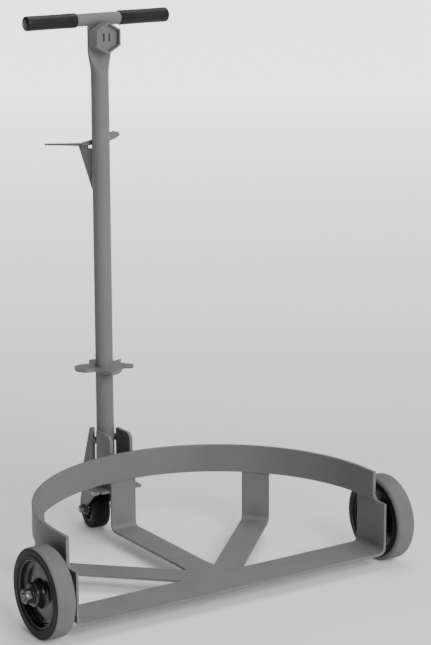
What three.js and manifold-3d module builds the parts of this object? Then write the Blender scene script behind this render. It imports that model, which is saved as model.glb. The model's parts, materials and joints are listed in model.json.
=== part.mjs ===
// Low-profile drum dolly: a flat steel hoop that takes a 55-gallon drum, two outboard wheels,
// a swivel caster behind the hoop and a lift-off T-handle that carries drum tools.
// Millimetres, +Z up, +Y from the open front of the hoop towards the handle.
import * as THREE from "three";
import { mergeVertices } from "three/addons/utils/BufferGeometryUtils.js";
import Module from "manifold-3d";

const wasm = await Module();
wasm.setup();

// ---------------------------------------------------------------- driving dimensions
const GAP = 0.3; // left between pieces that touch
const PLATE = 6.35; // quarter-inch flat steel of the hoop and the ears
const BAR_T = 4.76; // three-sixteenths flat steel of the base bar and the straps

const HOOP_R = 305; // inside radius of the hoop, a drum of 24 in over its rolling hoops
const HOOP_TOP = 170.8;
const HOOP_HEIGHT = 50.8;
const HOOP_TAIL = 34; // straight run of the hoop past its centre line, towards the front

const BASE_TOP = 30.8; // top face of the base bar and straps
const BASE_FRONT = -65.5;
const BASE_WIDTH = 79.4;
const BEND_INNER_R = 9;
const STRAP_WIDTH = 50.8;
const STRAP_R = 306; // from the hoop's centre to the inner face of a strap's upright
const STRAPS = { // each one's direction, and a point its middle line runs through
  strap_right: { angle: 45, x: 2, y: -10 },
  strap_center: { angle: 90, x: 0, y: 0 },
  strap_left: { angle: 136, x: 2, y: -10 },
};

const WHEEL_R = 76.2;
const WHEEL_Y = -12;
const WHEEL_IN = 322.5; // inboard face of the wheels, |X|
const WHEEL_OUT = 358.3;
const HUB_R = 56.5;
const WEB_RECESS = 12;
const BOSS_R = 20;
const BOSS_END = 365; // outboard end of the hub boss, |X|
const AXLE_R = 6.35;
const AXLE_END = 381;
const AXLE_NUT_AF = 22.2;
const COLLAR_R = 13;
const WASHER_R = 15.5;

const POST_Y = 368.5;
const POST_R = 15.875;
const POST_WALL = 2.6;
const POST_BASE = 103.3;
const FLAT_HALF = 23.5; // half width of the flattened top of the post
const FLAT_T = 6.4;
const FLAT_START = 848; // the tube is round below this height
const FLAT_END = 892; // and fully flat above this one

const TBAR_Z = 943.4;
const TBAR_R = 11.1;
const TBAR_HALF = 139.7;
const TBAR_SHIFT = -4; // the cross bar sits a little to the left on the post
const GRIP_R = 13;
const GRIP_END = 142.3; // from the middle of the cross bar
const GRIP_INNER = 43.7;

const PIN_Z = 183;
const PIN_R = 6.35;
const PIN_HALF = 24.5;
const EAR_IN = 17.5; // inner face of each ear, |X|
const EAR_TOP = 205;
const SLOT_WIDTH = 14;
const SLOT_BOTTOM = 138; // centre of the round slot end

const MOUNT_TOP = 103;
const MOUNT_T = 4.8;
const MOUNT_HALF = 41.3;
const MOUNT_FRONT = 311.8;
const MOUNT_BACK = 432;
const SPIGOT_R = 12;
const SPIGOT_TOP = 148;

const KINGPIN_Y = 386;
const CASTER_R = 38.1;
const CASTER_WIDTH = 31.8;
const CASTER_TRAIL = 32;
const CASTER_TURN = -8; // degrees that the caster stands turned about its kingpin
const CASTER_BOLT_Y = 34;

const HEAD_AF = 48; // hexagonal plug wrench, across flats
const HEAD_DEPTH = 30;
const HEAD_Z = 913;
const BLADE_TURN = 30; // degrees from +Y towards -X that the seal remover points
const BLADE_TIP = 116;
const BLADE_Z = 723; // height of the blade's centre line at the post's axis
const BLADE_DROP = 3.9; // degrees that it falls towards its tip
const BLADE_T = 3.6;
const PRY_LUG_T = 5;
const LUG_TOP = 320;
const LUG_T = 6.35;

// The origin is under the middle of the whole object, so the hoop's centre lies in front of it.
const FRONT = WHEEL_Y - WHEEL_R;
const rad = THREE.MathUtils.degToRad;
const bladeReach = BLADE_TIP * Math.cos(rad(BLADE_DROP)) + (BLADE_T / 2) * Math.sin(rad(BLADE_DROP));
const BACK = POST_Y + bladeReach * Math.cos(rad(BLADE_TURN));
const SHIFT_Y = -(FRONT + BACK) / 2;

// ---------------------------------------------------------------- materials
const finish = (color, roughness, metalness) => () =>
  new THREE.MeshStandardMaterial({ color, roughness, metalness });
const paint = finish(0x7f7f7f, 0.5, 0.2);
const zinc = finish(0xa2a4a6, 0.35, 0.9);
const blackRubber = finish(0x1c1c1c, 0.75, 0);
const greyRubber = finish(0x808080, 0.7, 0);
const blackPlastic = finish(0x151515, 0.35, 0);
const bronze = finish(0x8a6a3c, 0.45, 0.9);

// ---------------------------------------------------------------- helpers
const root = new THREE.Group();
const object = new THREE.Group();
object.position.y = SHIFT_Y;
root.add(object);

function place(name, geometry, material, group = object) {
  const mesh = new THREE.Mesh(geometry, material());
  mesh.name = name;
  group.add(mesh);
  return mesh;
}

// A closed geometry as a manifold-3d solid, turned right side out.
function solid(geometry) {
  const bare = geometry.clone();
  bare.deleteAttribute("normal");
  bare.deleteAttribute("uv");
  const merged = mergeVertices(bare, 1e-3);
  const build = (triVerts) =>
    new wasm.Manifold(
      new wasm.Mesh({
        numProp: 3,
        vertProperties: merged.attributes.position.array,
        triVerts,
      }),
    );
  const triangles = new Uint32Array(merged.index.array);
  const made = build(triangles);
  return made.volume() < 0 ? build(triangles.slice().reverse()) : made;
}

function geometryOf(manifold) {
  const mesh = manifold.getMesh();
  const geometry = new THREE.BufferGeometry();
  geometry.setAttribute("position", new THREE.BufferAttribute(mesh.vertProperties, 3));
  geometry.setIndex(new THREE.BufferAttribute(mesh.triVerts, 1));
  return geometry;
}

const join = (...parts) => geometryOf(parts.map(solid).reduce((a, b) => a.add(b)));
const cut = (body, ...tools) =>
  geometryOf(tools.map(solid).reduce((a, b) => a.subtract(b), solid(body)));

// A profile drawn in the plane of axes u and v, extruded along u x v from `from` to `to`.
const axes = {
  xy: new THREE.Matrix4(),
  yz: new THREE.Matrix4().makeBasis(
    new THREE.Vector3(0, 1, 0),
    new THREE.Vector3(0, 0, 1),
    new THREE.Vector3(1, 0, 0),
  ),
  zx: new THREE.Matrix4().makeBasis(
    new THREE.Vector3(0, 0, 1),
    new THREE.Vector3(1, 0, 0),
    new THREE.Vector3(0, 1, 0),
  ),
};

function prism(shape, plane, from, to, curveSegments = 6) {
  const geometry = new THREE.ExtrudeGeometry(shape, {
    depth: to - from,
    bevelEnabled: false,
    curveSegments,
  });
  return geometry.translate(0, 0, from).applyMatrix4(axes[plane]);
}

function outline(points) {
  return new THREE.Shape(points.map(([x, y]) => new THREE.Vector2(x, y)));
}

// A rod or ring about an axis. Profile points are [radius, distance along the axis].
function turned(profile, axis, segments = 32) {
  const points = profile.map(([r, h]) => new THREE.Vector2(r, h));
  const geometry = new THREE.LatheGeometry(points, segments);
  if (axis === "x") geometry.rotateZ(-Math.PI / 2);
  if (axis === "z") geometry.rotateX(Math.PI / 2);
  return geometryOf(solid(geometry));
}

const rod = (r, from, to, axis, segments = 24, chamfer = 0) =>
  turned(
    chamfer
      ? [[0, from], [r - chamfer, from], [r, from + chamfer], [r, to - chamfer], [r - chamfer, to], [0, to]]
      : [[0, from], [r, from], [r, to], [0, to]],
    axis,
    segments,
  );
const ring = (inner, outer, from, to, axis, segments = 24) =>
  turned([[inner, from], [outer, from], [outer, to], [inner, to], [inner, from]], axis, segments);

// A hexagon nut or bolt head about an axis, with an optional round bore.
function hexagon(acrossFlats, from, to, axis, bore = 0) {
  const r = acrossFlats / Math.sqrt(3);
  const body = rod(r, from, to, axis, 6);
  return bore ? cut(body, rod(bore, from - 1, to + 1, axis, 24)) : body;
}

// Side view of a flat bar that lies with its top at BASE_TOP from `from` outwards, then turns up
// to the height `top` with its inner face at `reach`.
function bentBar(from, reach, top) {
  const bottom = BASE_TOP - BAR_T;
  const outerR = BEND_INNER_R + BAR_T;
  const shape = new THREE.Shape();
  shape.moveTo(from, bottom);
  shape.lineTo(reach - BEND_INNER_R, bottom);
  shape.absarc(reach - BEND_INNER_R, bottom + outerR, outerR, -Math.PI / 2, 0, false);
  shape.lineTo(reach + BAR_T, top);
  shape.lineTo(reach, top);
  shape.lineTo(reach, BASE_TOP + BEND_INNER_R);
  shape.absarc(reach - BEND_INNER_R, BASE_TOP + BEND_INNER_R, BEND_INNER_R, 0, -Math.PI / 2, true);
  shape.lineTo(from, BASE_TOP);
  shape.closePath();
  return shape;
}

// ---------------------------------------------------------------- hoop and base
const HOOP_BOTTOM = HOOP_TOP - HOOP_HEIGHT;
const LEG_TOP = HOOP_BOTTOM - GAP;
const hoopOuter = HOOP_R + PLATE;

function hoopBand() {
  const shape = new THREE.Shape();
  shape.moveTo(HOOP_R, -HOOP_TAIL);
  shape.lineTo(hoopOuter, -HOOP_TAIL);
  shape.lineTo(hoopOuter, 0);
  shape.absarc(0, 0, hoopOuter, 0, Math.PI, false);
  shape.lineTo(-hoopOuter, -HOOP_TAIL);
  shape.lineTo(-HOOP_R, -HOOP_TAIL);
  shape.lineTo(-HOOP_R, 0);
  shape.absarc(0, 0, HOOP_R, Math.PI, 0, true);
  return prism(shape, "xy", HOOP_BOTTOM, HOOP_TOP, 40);
}

// The base bar: one flat bar bent up at both ends, its uprights flush with the hoop's outside.
function baseBar() {
  const right = bentBar(0, hoopOuter - BAR_T, LEG_TOP).extractPoints(6).shape;
  const left = right.map((p) => new THREE.Vector2(-p.x, p.y)).reverse();
  const inner = (list) => list.filter((p) => Math.abs(p.x) > 1);
  // Right half runs bottom, outside, top, inside; the left half mirrors it.
  const ring = [...inner(right), ...inner(left)];
  const profile = new THREE.Shape(ring.map((p) => new THREE.Vector2(p.y, p.x)));
  return geometryOf(solid(prism(profile, "zx", BASE_FRONT, BASE_FRONT + BASE_WIDTH)));
}

// A strap lies from the base bar outwards along its middle line and turns up under the hoop.
function strapAt({ angle, x, y }) {
  const along = x * Math.cos(rad(angle)) + y * Math.sin(rad(angle));
  const reach = Math.sqrt(STRAP_R ** 2 - x ** 2 - y ** 2 + along ** 2) - along;
  const profile = bentBar(0, reach, LEG_TOP);
  const points = profile.extractPoints(6).shape.map((p) => [p.y, p.x]);
  return prism(outline(points), "zx", -STRAP_WIDTH / 2, STRAP_WIDTH / 2)
    .applyMatrix4(new THREE.Matrix4().makeRotationZ(rad(angle)))
    .applyMatrix4(new THREE.Matrix4().makeTranslation(x, y, 0));
}

function straps() {
  const behindBar = BASE_FRONT + BASE_WIDTH + GAP;
  const clearBar = prism(
    outline([[-400, -200], [400, -200], [400, behindBar], [-400, behindBar]]), "xy", 0, 200,
  );
  for (const [name, line] of Object.entries(STRAPS)) {
    const tools = [clearBar];
    if (line.angle !== 90) {
      const half = STRAP_WIDTH / 2 + GAP;
      tools.push(prism(outline([[-half, -10], [half, -10], [half, 200], [-half, 200]]), "xy", 0, 60));
    }
    place(name, cut(strapAt(line), ...tools), paint);
  }
}

place("hoop_band", hoopBand(), paint);
place("base_bar", baseBar(), paint);
straps();

// ---------------------------------------------------------------- handle socket
function ear(name, side) {
  const back = POST_Y;
  const slot = SLOT_WIDTH / 2;
  const shape = new THREE.Shape();
  const bottom = MOUNT_TOP + GAP;
  shape.moveTo(MOUNT_FRONT, bottom);
  shape.lineTo(back + 50, bottom);
  shape.lineTo(back + 19, EAR_TOP - 9);
  shape.quadraticCurveTo(back + 17, EAR_TOP, back + 11, EAR_TOP);
  shape.lineTo(back + slot, EAR_TOP);
  shape.lineTo(back + slot, SLOT_BOTTOM);
  shape.absarc(back, SLOT_BOTTOM, slot, 0, -Math.PI, true);
  shape.lineTo(back - slot, EAR_TOP - 2);
  shape.lineTo(MOUNT_FRONT + 14, EAR_TOP - 2);
  shape.quadraticCurveTo(MOUNT_FRONT, EAR_TOP - 3, MOUNT_FRONT, EAR_TOP - 16);
  const from = side > 0 ? EAR_IN : -EAR_IN - PLATE;
  place(name, prism(shape, "yz", from, from + PLATE, 8), paint);
}

function mountPlate() {
  const r = 10;
  const shape = new THREE.Shape();
  shape.moveTo(-MOUNT_HALF, MOUNT_FRONT);
  shape.lineTo(MOUNT_HALF, MOUNT_FRONT);
  shape.lineTo(MOUNT_HALF, MOUNT_BACK - r);
  shape.absarc(MOUNT_HALF - r, MOUNT_BACK - r, r, 0, Math.PI / 2, false);
  shape.lineTo(-MOUNT_HALF + r, MOUNT_BACK);
  shape.absarc(-MOUNT_HALF + r, MOUNT_BACK - r, r, Math.PI / 2, Math.PI, false);
  for (const [x, y] of boltPlaces()) shape.holes.push(hole(x, y, BOLT_HOLE_R));
  return prism(shape, "xy", MOUNT_TOP - MOUNT_T, MOUNT_TOP, 8);
}

const BOLT_R = 4;
const BOLT_HOLE_R = BOLT_R + GAP;

function boltPlaces() {
  return [[1, 1], [-1, 1], [-1, -1], [1, -1]].map(([sx, sy]) => [
    sx * (EAR_IN + PLATE + 8.5),
    KINGPIN_Y + sy * CASTER_BOLT_Y,
  ]);
}

function hole(x, y, r) {
  const path = new THREE.Path();
  path.absarc(x, y, r, 0, 2 * Math.PI, true);
  return path;
}

ear("ear_left", -1);
ear("ear_right", 1);
place("caster_mount_plate", mountPlate(), paint);
place(
  "handle_spigot",
  rod(SPIGOT_R, MOUNT_TOP + GAP, SPIGOT_TOP, "z", 24, 2.5).translate(0, POST_Y, 0),
  paint,
);

// ---------------------------------------------------------------- main wheels
// All built for +X; the left wheel is turned half a turn about Z.
function wheel(side, sideName) {
  const group = new THREE.Group();
  group.position.set(0, WHEEL_Y, WHEEL_R);
  group.rotation.z = side > 0 ? 0 : Math.PI;
  object.add(group);
  const put = (name, geometry, material) => place(name + "_" + sideName, geometry, material, group);
  const shoulder = 3;
  const shoulderDrop = 0.8;
  const treadEdge = 3.6;
  const sideStart = WHEEL_R - 9;
  const tyreInner = HUB_R + GAP;
  const rimInset = 2;
  put("tyre", turned([
    [tyreInner, WHEEL_IN + rimInset],
    [sideStart, WHEEL_IN],
    [WHEEL_R - shoulder, WHEEL_IN + shoulderDrop],
    [WHEEL_R, WHEEL_IN + treadEdge],
    [WHEEL_R, WHEEL_OUT - treadEdge],
    [WHEEL_R - shoulder, WHEEL_OUT - shoulderDrop],
    [sideStart, WHEEL_OUT],
    [tyreInner, WHEEL_OUT - rimInset],
    [tyreInner, WHEEL_IN + rimInset],
  ], "x", 48), greyRubber);
  const wall = HUB_R - 2.5;
  const bossIn = WHEEL_IN - 4;
  const bushR = AXLE_R + 3;
  put("hub", turned([
    [bushR + GAP, bossIn],
    [BOSS_R, bossIn],
    [BOSS_R, WHEEL_IN + WEB_RECESS],
    [wall - 2, WHEEL_IN + WEB_RECESS],
    [wall, WHEEL_IN + rimInset],
    [HUB_R, WHEEL_IN + rimInset],
    [HUB_R, WHEEL_OUT - rimInset],
    [wall, WHEEL_OUT - rimInset],
    [wall - 2, WHEEL_OUT - WEB_RECESS],
    [BOSS_R + 2, WHEEL_OUT - WEB_RECESS],
    [BOSS_R, BOSS_END],
    [bushR + GAP, BOSS_END],
    [bushR + GAP, bossIn],
  ], "x", 36), blackPlastic);
  const washerEnd = BOSS_END + 2.5;
  const nutEnd = AXLE_END - 2.5;
  const axleIn = hoopOuter + GAP;
  const bore = AXLE_R + GAP;
  put("bushing", ring(bore, bushR, bossIn, BOSS_END, "x", 24), bronze);
  put("axle", rod(AXLE_R, axleIn, AXLE_END, "x", 24, 1), zinc);
  put("axle_collar", ring(bore, COLLAR_R, axleIn, bossIn - GAP, "x", 24), zinc);
  put("axle_washer", ring(bore, WASHER_R, BOSS_END + GAP, washerEnd, "x", 24), zinc);
  put("axle_nut", hexagon(AXLE_NUT_AF, washerEnd + GAP, nutEnd, "x", bore), zinc);
}
wheel(-1, "left");
wheel(1, "right");

// ---------------------------------------------------------------- caster
const CASTER_PLATE_TOP = MOUNT_TOP - MOUNT_T - GAP;
const CASTER_PLATE_BOTTOM = 93.35;
const CROWN_TOP = 88;
const FORK_T = 3;
const FORK_IN = 20.3;
const FORK_OUT = FORK_IN + FORK_T;
const KINGPIN_R = 6;
const CASTER_AXLE_R = 5;
const CASTER_NUT_AF = 14;
const MOUNT_NUT_AF = 13;

function casterPlate() {
  const halfX = 40;
  const halfY = 43;
  const r = 8;
  const shape = new THREE.Shape();
  shape.moveTo(-halfX + r, -halfY);
  shape.absarc(halfX - r, -halfY + r, r, -Math.PI / 2, 0, false);
  shape.absarc(halfX - r, halfY - r, r, 0, Math.PI / 2, false);
  shape.absarc(-halfX + r, halfY - r, r, Math.PI / 2, Math.PI, false);
  shape.absarc(-halfX + r, -halfY + r, r, Math.PI, 1.5 * Math.PI, false);
  for (const [x, y] of boltPlaces()) shape.holes.push(hole(x, y - KINGPIN_Y, BOLT_HOLE_R));
  shape.holes.push(hole(0, 0, KINGPIN_R + GAP));
  return prism(shape, "xy", CASTER_PLATE_BOTTOM, CASTER_PLATE_TOP, 10)
    .translate(0, KINGPIN_Y, 0);
}

// One bent plate: a crown under the bearing and two legs that trail down to the axle.
function casterFork() {
  const crown = prism(
    outline([
      [-FORK_OUT, -20], [-FORK_OUT + 8, -27], [FORK_OUT - 8, -27], [FORK_OUT, -20],
      [FORK_OUT, 28], [FORK_OUT - 4, 31], [-FORK_OUT + 4, 31], [-FORK_OUT, 28],
    ]),
    "xy", CROWN_TOP - FORK_T, CROWN_TOP,
  );
  const eyeR = 10.5;
  const legTop = CROWN_TOP - 0.5;
  const leg = new THREE.Shape();
  leg.moveTo(-24, legTop);
  leg.lineTo(-24, CROWN_TOP - 9);
  leg.absarc(CASTER_TRAIL, CASTER_R, eyeR, rad(157), rad(360), false);
  leg.lineTo(CASTER_TRAIL + eyeR, 64);
  leg.lineTo(30, legTop);
  const legs = [-FORK_OUT, FORK_IN].map((x) => prism(leg, "yz", x, x + FORK_T, 8));
  return cut(
    join(crown, ...legs),
    rod(CASTER_AXLE_R + GAP, -FORK_OUT - 2, FORK_OUT + 2, "x", 20)
      .translate(0, CASTER_TRAIL, CASTER_R),
    rod(KINGPIN_R + GAP, CROWN_TOP - 10, CROWN_TOP + 5, "z", 20),
  );
}

// The kingpin hangs from the caster's plate; its head carries the fork's crown.
function kingpin() {
  const headTop = CROWN_TOP - FORK_T - GAP;
  const headBottom = headTop - 4.6;
  const pinTop = CASTER_PLATE_TOP - GAP;
  return turned([
    [0, headBottom], [9, headBottom], [9, headTop],
    [KINGPIN_R, headTop], [KINGPIN_R, pinTop], [0, pinTop],
  ], "z", 20);
}

function casterWheel(swivel) {
  const atAxle = (geometry) => geometry.translate(0, CASTER_TRAIL, CASTER_R);
  const half = CASTER_WIDTH / 2;
  const boreR = CASTER_AXLE_R + GAP;
  const bushR = 8;
  const coreR = 24;
  const bossR = 13;
  const bossEnd = FORK_IN - 0.5;
  const dish = 5;
  place("caster_tread", atAxle(turned([
    [coreR + GAP, -half], [CASTER_R - 5, -half], [CASTER_R - 1.2, -half + 1.6],
    [CASTER_R, -half + 5], [CASTER_R, half - 5], [CASTER_R - 1.2, half - 1.6],
    [CASTER_R - 5, half], [coreR + GAP, half], [coreR + GAP, -half],
  ], "x", 40)), blackRubber, swivel);
  place("caster_core", atAxle(turned([
    [bushR + GAP, -bossEnd], [bossR, -bossEnd], [bossR, -half + dish], [coreR - 3, -half + dish],
    [coreR - 2, -half], [coreR, -half], [coreR, half], [coreR - 2, half],
    [coreR - 3, half - dish], [bossR, half - dish], [bossR, bossEnd], [bushR + GAP, bossEnd],
    [bushR + GAP, -bossEnd],
  ], "x", 28)), blackPlastic, swivel);
  place("caster_bushing", atAxle(ring(boreR, bushR, -bossEnd, bossEnd, "x", 20)), zinc, swivel);
  const head = hexagon(CASTER_NUT_AF, FORK_OUT + GAP, FORK_OUT + 5.5, "x");
  const shank = rod(CASTER_AXLE_R, -FORK_OUT - 9, FORK_OUT + 1, "x", 20);
  place("caster_axle_bolt", atAxle(join(head, shank)), zinc, swivel);
  const nut = hexagon(CASTER_NUT_AF, -FORK_OUT - 7, -FORK_OUT - GAP, "x", boreR);
  place("caster_axle_nut", atAxle(nut), zinc, swivel);
}

function caster() {
  place("caster_plate", casterPlate(), zinc);
  place("caster_kingpin", kingpin().translate(0, KINGPIN_Y, 0), zinc);
  const nutTop = CASTER_PLATE_BOTTOM - GAP;
  boltPlaces().forEach(([x, y], i) => {
    const head = hexagon(MOUNT_NUT_AF, MOUNT_TOP + GAP, MOUNT_TOP + 5.5, "z");
    const shank = rod(BOLT_R, 84.5, MOUNT_TOP + 1, "z", 16);
    place("caster_bolt_" + (i + 1), join(head, shank).translate(x, y, 0), zinc);
    const nut = hexagon(MOUNT_NUT_AF, nutTop - 6.3, nutTop, "z", BOLT_R + GAP);
    place("caster_nut_" + (i + 1), nut.translate(x, y, 0), zinc);
  });

  const swivel = new THREE.Group();
  swivel.position.set(0, KINGPIN_Y, 0);
  swivel.rotation.z = rad(CASTER_TURN);
  object.add(swivel);
  place("caster_fork", casterFork(), zinc, swivel);
  const raceIn = KINGPIN_R + 1;
  const raceBottom = CROWN_TOP + GAP;
  const raceTop = CASTER_PLATE_BOTTOM - 0.55;
  place("caster_ball_race", turned([
    [raceIn, raceBottom], [21, raceBottom], [25, raceBottom + 2.2], [25, raceTop],
    [raceIn, raceTop], [raceIn, raceBottom],
  ], "z", 28), zinc, swivel);
  casterWheel(swivel);
}
caster();

// ---------------------------------------------------------------- handle
const handle = new THREE.Group();
handle.position.set(0, POST_Y, 0);
object.add(handle);

// The post's section at height z: a circle that flattens front to back towards the top.
function postSection(z, inset, sides) {
  const t = THREE.MathUtils.smoothstep(z, FLAT_START, FLAT_END);
  const halfX = THREE.MathUtils.lerp(POST_R, FLAT_HALF, t) - inset;
  const insetY = THREE.MathUtils.lerp(inset, Math.min(inset, 2.4), t);
  const halfY = THREE.MathUtils.lerp(POST_R, FLAT_T / 2, t) - insetY;
  const power = THREE.MathUtils.lerp(1, 0.55, t); // squarer than an ellipse once flat
  return Array.from({ length: sides }, (_, k) => {
    const a = (2 * Math.PI * k) / sides;
    const squared = (v) => Math.sign(v) * Math.abs(v) ** power;
    return new THREE.Vector3(halfX * squared(Math.cos(a)), halfY * squared(Math.sin(a)), z);
  });
}

// A closed skin through a list of rings with equal numbers of points.
function loft(rings) {
  const n = rings[0].length;
  const positions = rings.flat().flatMap((p) => [p.x, p.y, p.z]);
  const index = [];
  for (let r = 0; r + 1 < rings.length; r++) {
    for (let k = 0; k < n; k++) {
      const a = r * n + k;
      const b = r * n + ((k + 1) % n);
      index.push(a, b, b + n, a, b + n, a + n);
    }
  }
  const last = (rings.length - 1) * n;
  for (let k = 1; k + 1 < n; k++) {
    index.push(0, k + 1, k, last, last + k, last + k + 1);
  }
  const geometry = new THREE.BufferGeometry();
  geometry.setAttribute("position", new THREE.Float32BufferAttribute(positions, 3));
  geometry.setIndex(index);
  return geometry;
}

// The post's surface, or one that lies `inset` inside it, between two heights.
function postSkin(inset, from, to) {
  const sides = 28;
  const steps = 8;
  const bend = Array.from({ length: steps + 1 }, (_, i) =>
    THREE.MathUtils.lerp(FLAT_START, FLAT_END, i / steps));
  return loft([from, ...bend, to].map((z) => postSection(z, inset, sides)));
}

function post() {
  const top = TBAR_Z - TBAR_R - GAP;
  return cut(
    postSkin(0, POST_BASE, top),
    postSkin(POST_WALL, POST_BASE - 5, top - 8),
    rod(PIN_R + GAP, -30, 30, "x", 24).translate(0, 0, PIN_Z),
  );
}

// A hexagonal socket head on the flat of the post, with two short slots in its floor.
function wrenchHead() {
  const back = -FLAT_T / 2 - GAP;
  const front = back - HEAD_DEPTH;
  const hexAt = (acrossFlats, from, to) => {
    const r = acrossFlats / Math.sqrt(3);
    const corners = Array.from({ length: 6 }, (_, k) => {
      const a = rad(60 * k);
      return [HEAD_Z + r * Math.cos(a), r * Math.sin(a)];
    });
    return prism(outline(corners), "zx", from, to);
  };
  const slots = [-5.5, 5.5].map((x) =>
    prism(outline([[HEAD_Z - 7, x - 2], [HEAD_Z - 7, x + 2], [HEAD_Z + 7, x + 2], [HEAD_Z + 7, x - 2]]),
      "zx", front + 6, front + 13));
  const socket = hexAt(HEAD_AF - 6, front - 1, front + 9);
  const body = hexAt(HEAD_AF, front, back);
  return cut(body, socket, ...slots, postSkin(-GAP, POST_BASE, TBAR_Z), tBarSeat());
}

// The room that the cross bar needs where the head reaches up in front of it.
function tBarSeat() {
  return rod(TBAR_R + GAP, -HEAD_AF, HEAD_AF, "x", 28).translate(0, 0, TBAR_Z);
}

// The seal remover: a thin pointed blade behind the pry lug, and its gusset below.
function sealBlade() {
  const start = POST_R + GAP;
  const blade = prism(
    outline([[-9, start], [9, start], [8, 45], [3, 80], [1.6, BLADE_TIP - 5], [0, BLADE_TIP],
      [-1.6, BLADE_TIP - 5], [-3, 80], [-8, 45]]),
    "xy", -BLADE_T / 2, BLADE_T / 2,
  )
    .rotateX(rad(-BLADE_DROP))
    .translate(0, 0, BLADE_Z)
    .rotateZ(rad(BLADE_TURN));
  const lugBack = POST_R + GAP + PRY_LUG_T + GAP;
  return cut(blade, prism(outline([[-60, 0], [60, 0], [60, lugBack], [-60, lugBack]]), "xy", 600, 800));
}

function bladeGusset() {
  const start = POST_R + GAP;
  const out = 44;
  const bottom = BLADE_Z - 81;
  const halfT = 2.4;
  const topAt = (y) => BLADE_Z - y * Math.tan(rad(BLADE_DROP)) - BLADE_T / 2 - 0.05 - GAP;
  const copeEnd = start + 10;
  const copeBottom = topAt(start) - 5;
  const shape = outline([
    [start, bottom], [start + 2, bottom], [out, topAt(out) - 2], [out, topAt(out)],
    [copeEnd, topAt(copeEnd)], [copeEnd, copeBottom], [start, copeBottom],
  ]);
  return prism(shape, "yz", -halfT, halfT).rotateZ(rad(BLADE_TURN));
}

// A short flat lug across the back of the post, rising to the right.
function pryLug() {
  const y = POST_R + GAP;
  const shape = outline([
    [720.6, -18], [722.5, -29], [727, -26], [729, -12], [738, 24], [741.5, 37], [739.5, 46],
    [734, 51], [729, 42], [724.5, 28],
  ]);
  return prism(shape, "zx", y, y + PRY_LUG_T);
}

// The lobed tool plate around the post: each lobe fits a different drum plug.
function lugPlate() {
  const shape = outline([
    [-52, 10], [-43, -7], [-26, -9], [-19, -21], [-14, -50], [3, -45], [14, -36], [29, -18],
    [45, -26], [51, -18], [40, -6], [37, 12], [52, 28], [35, 21], [14, 51], [-1, 53],
    [-16, 28], [-32, 33], [-47, 27],
  ]);
  shape.holes.push(hole(0, 0, POST_R + GAP));
  return prism(shape, "xy", LUG_TOP - LUG_T, LUG_TOP, 14);
}

function crossBar() {
  const bar = ring(TBAR_R - 2, TBAR_R, -TBAR_HALF, TBAR_HALF, "x", 28);
  return bar.translate(TBAR_SHIFT, 0, TBAR_Z);
}

function grip(name, side) {
  const bore = TBAR_R + GAP;
  const capIn = TBAR_HALF + GAP;
  const geometry = turned([
    [0, GRIP_END], [GRIP_R - 3, GRIP_END], [GRIP_R - 0.9, GRIP_END - 1], [GRIP_R, GRIP_END - 4],
    [GRIP_R, GRIP_INNER + 3], [GRIP_R - 1, GRIP_INNER], [bore, GRIP_INNER], [bore, capIn],
    [0, capIn],
  ], "x", 28);
  if (side < 0) geometry.rotateZ(Math.PI);
  place(name, geometry.translate(TBAR_SHIFT, 0, TBAR_Z), blackRubber, handle);
}

place("post_tube", post(), paint, handle);
place("t_bar", crossBar(), paint, handle);
grip("grip_left", -1);
grip("grip_right", 1);
place("wrench_head", wrenchHead(), paint, handle);
place("seal_blade", sealBlade(), paint, handle);
place("blade_gusset", bladeGusset(), paint, handle);
place("pry_lug", pryLug(), paint, handle);
place("lug_plate", lugPlate(), paint, handle);
place("cross_pin", rod(PIN_R, -PIN_HALF, PIN_HALF, "x", 24, 0.8).translate(0, 0, PIN_Z), zinc, handle);

export default root;
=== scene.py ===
"""Looks of the drum dolly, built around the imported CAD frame. Metres, row frame."""

import itertools
import json
import math

import bmesh
import bpy
from mathutils import Matrix, Vector, noise

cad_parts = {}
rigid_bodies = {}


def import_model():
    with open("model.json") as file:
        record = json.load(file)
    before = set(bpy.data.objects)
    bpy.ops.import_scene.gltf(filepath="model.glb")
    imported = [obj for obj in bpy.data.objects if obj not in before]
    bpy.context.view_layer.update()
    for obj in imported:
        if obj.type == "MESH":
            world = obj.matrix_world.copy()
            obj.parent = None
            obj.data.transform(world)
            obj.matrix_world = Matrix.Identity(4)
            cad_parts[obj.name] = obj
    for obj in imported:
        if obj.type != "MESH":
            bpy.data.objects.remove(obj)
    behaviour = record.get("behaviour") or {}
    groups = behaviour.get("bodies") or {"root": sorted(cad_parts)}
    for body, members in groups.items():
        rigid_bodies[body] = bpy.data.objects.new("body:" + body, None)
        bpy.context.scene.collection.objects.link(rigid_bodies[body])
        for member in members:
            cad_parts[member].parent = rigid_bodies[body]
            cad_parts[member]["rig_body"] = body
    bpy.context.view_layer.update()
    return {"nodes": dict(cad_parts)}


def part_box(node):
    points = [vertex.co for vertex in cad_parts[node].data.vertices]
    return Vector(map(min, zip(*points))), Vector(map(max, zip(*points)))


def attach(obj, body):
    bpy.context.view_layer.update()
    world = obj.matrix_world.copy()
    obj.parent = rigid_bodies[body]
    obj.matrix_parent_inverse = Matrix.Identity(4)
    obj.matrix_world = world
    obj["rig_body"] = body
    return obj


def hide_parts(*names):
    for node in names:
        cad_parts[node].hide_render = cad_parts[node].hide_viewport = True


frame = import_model()
NODES = frame["nodes"]
MM = 0.001


def middle(node):
    """The middle of a CAD node's box, in metres."""
    low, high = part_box(node)
    return (low + high) / 2


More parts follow.
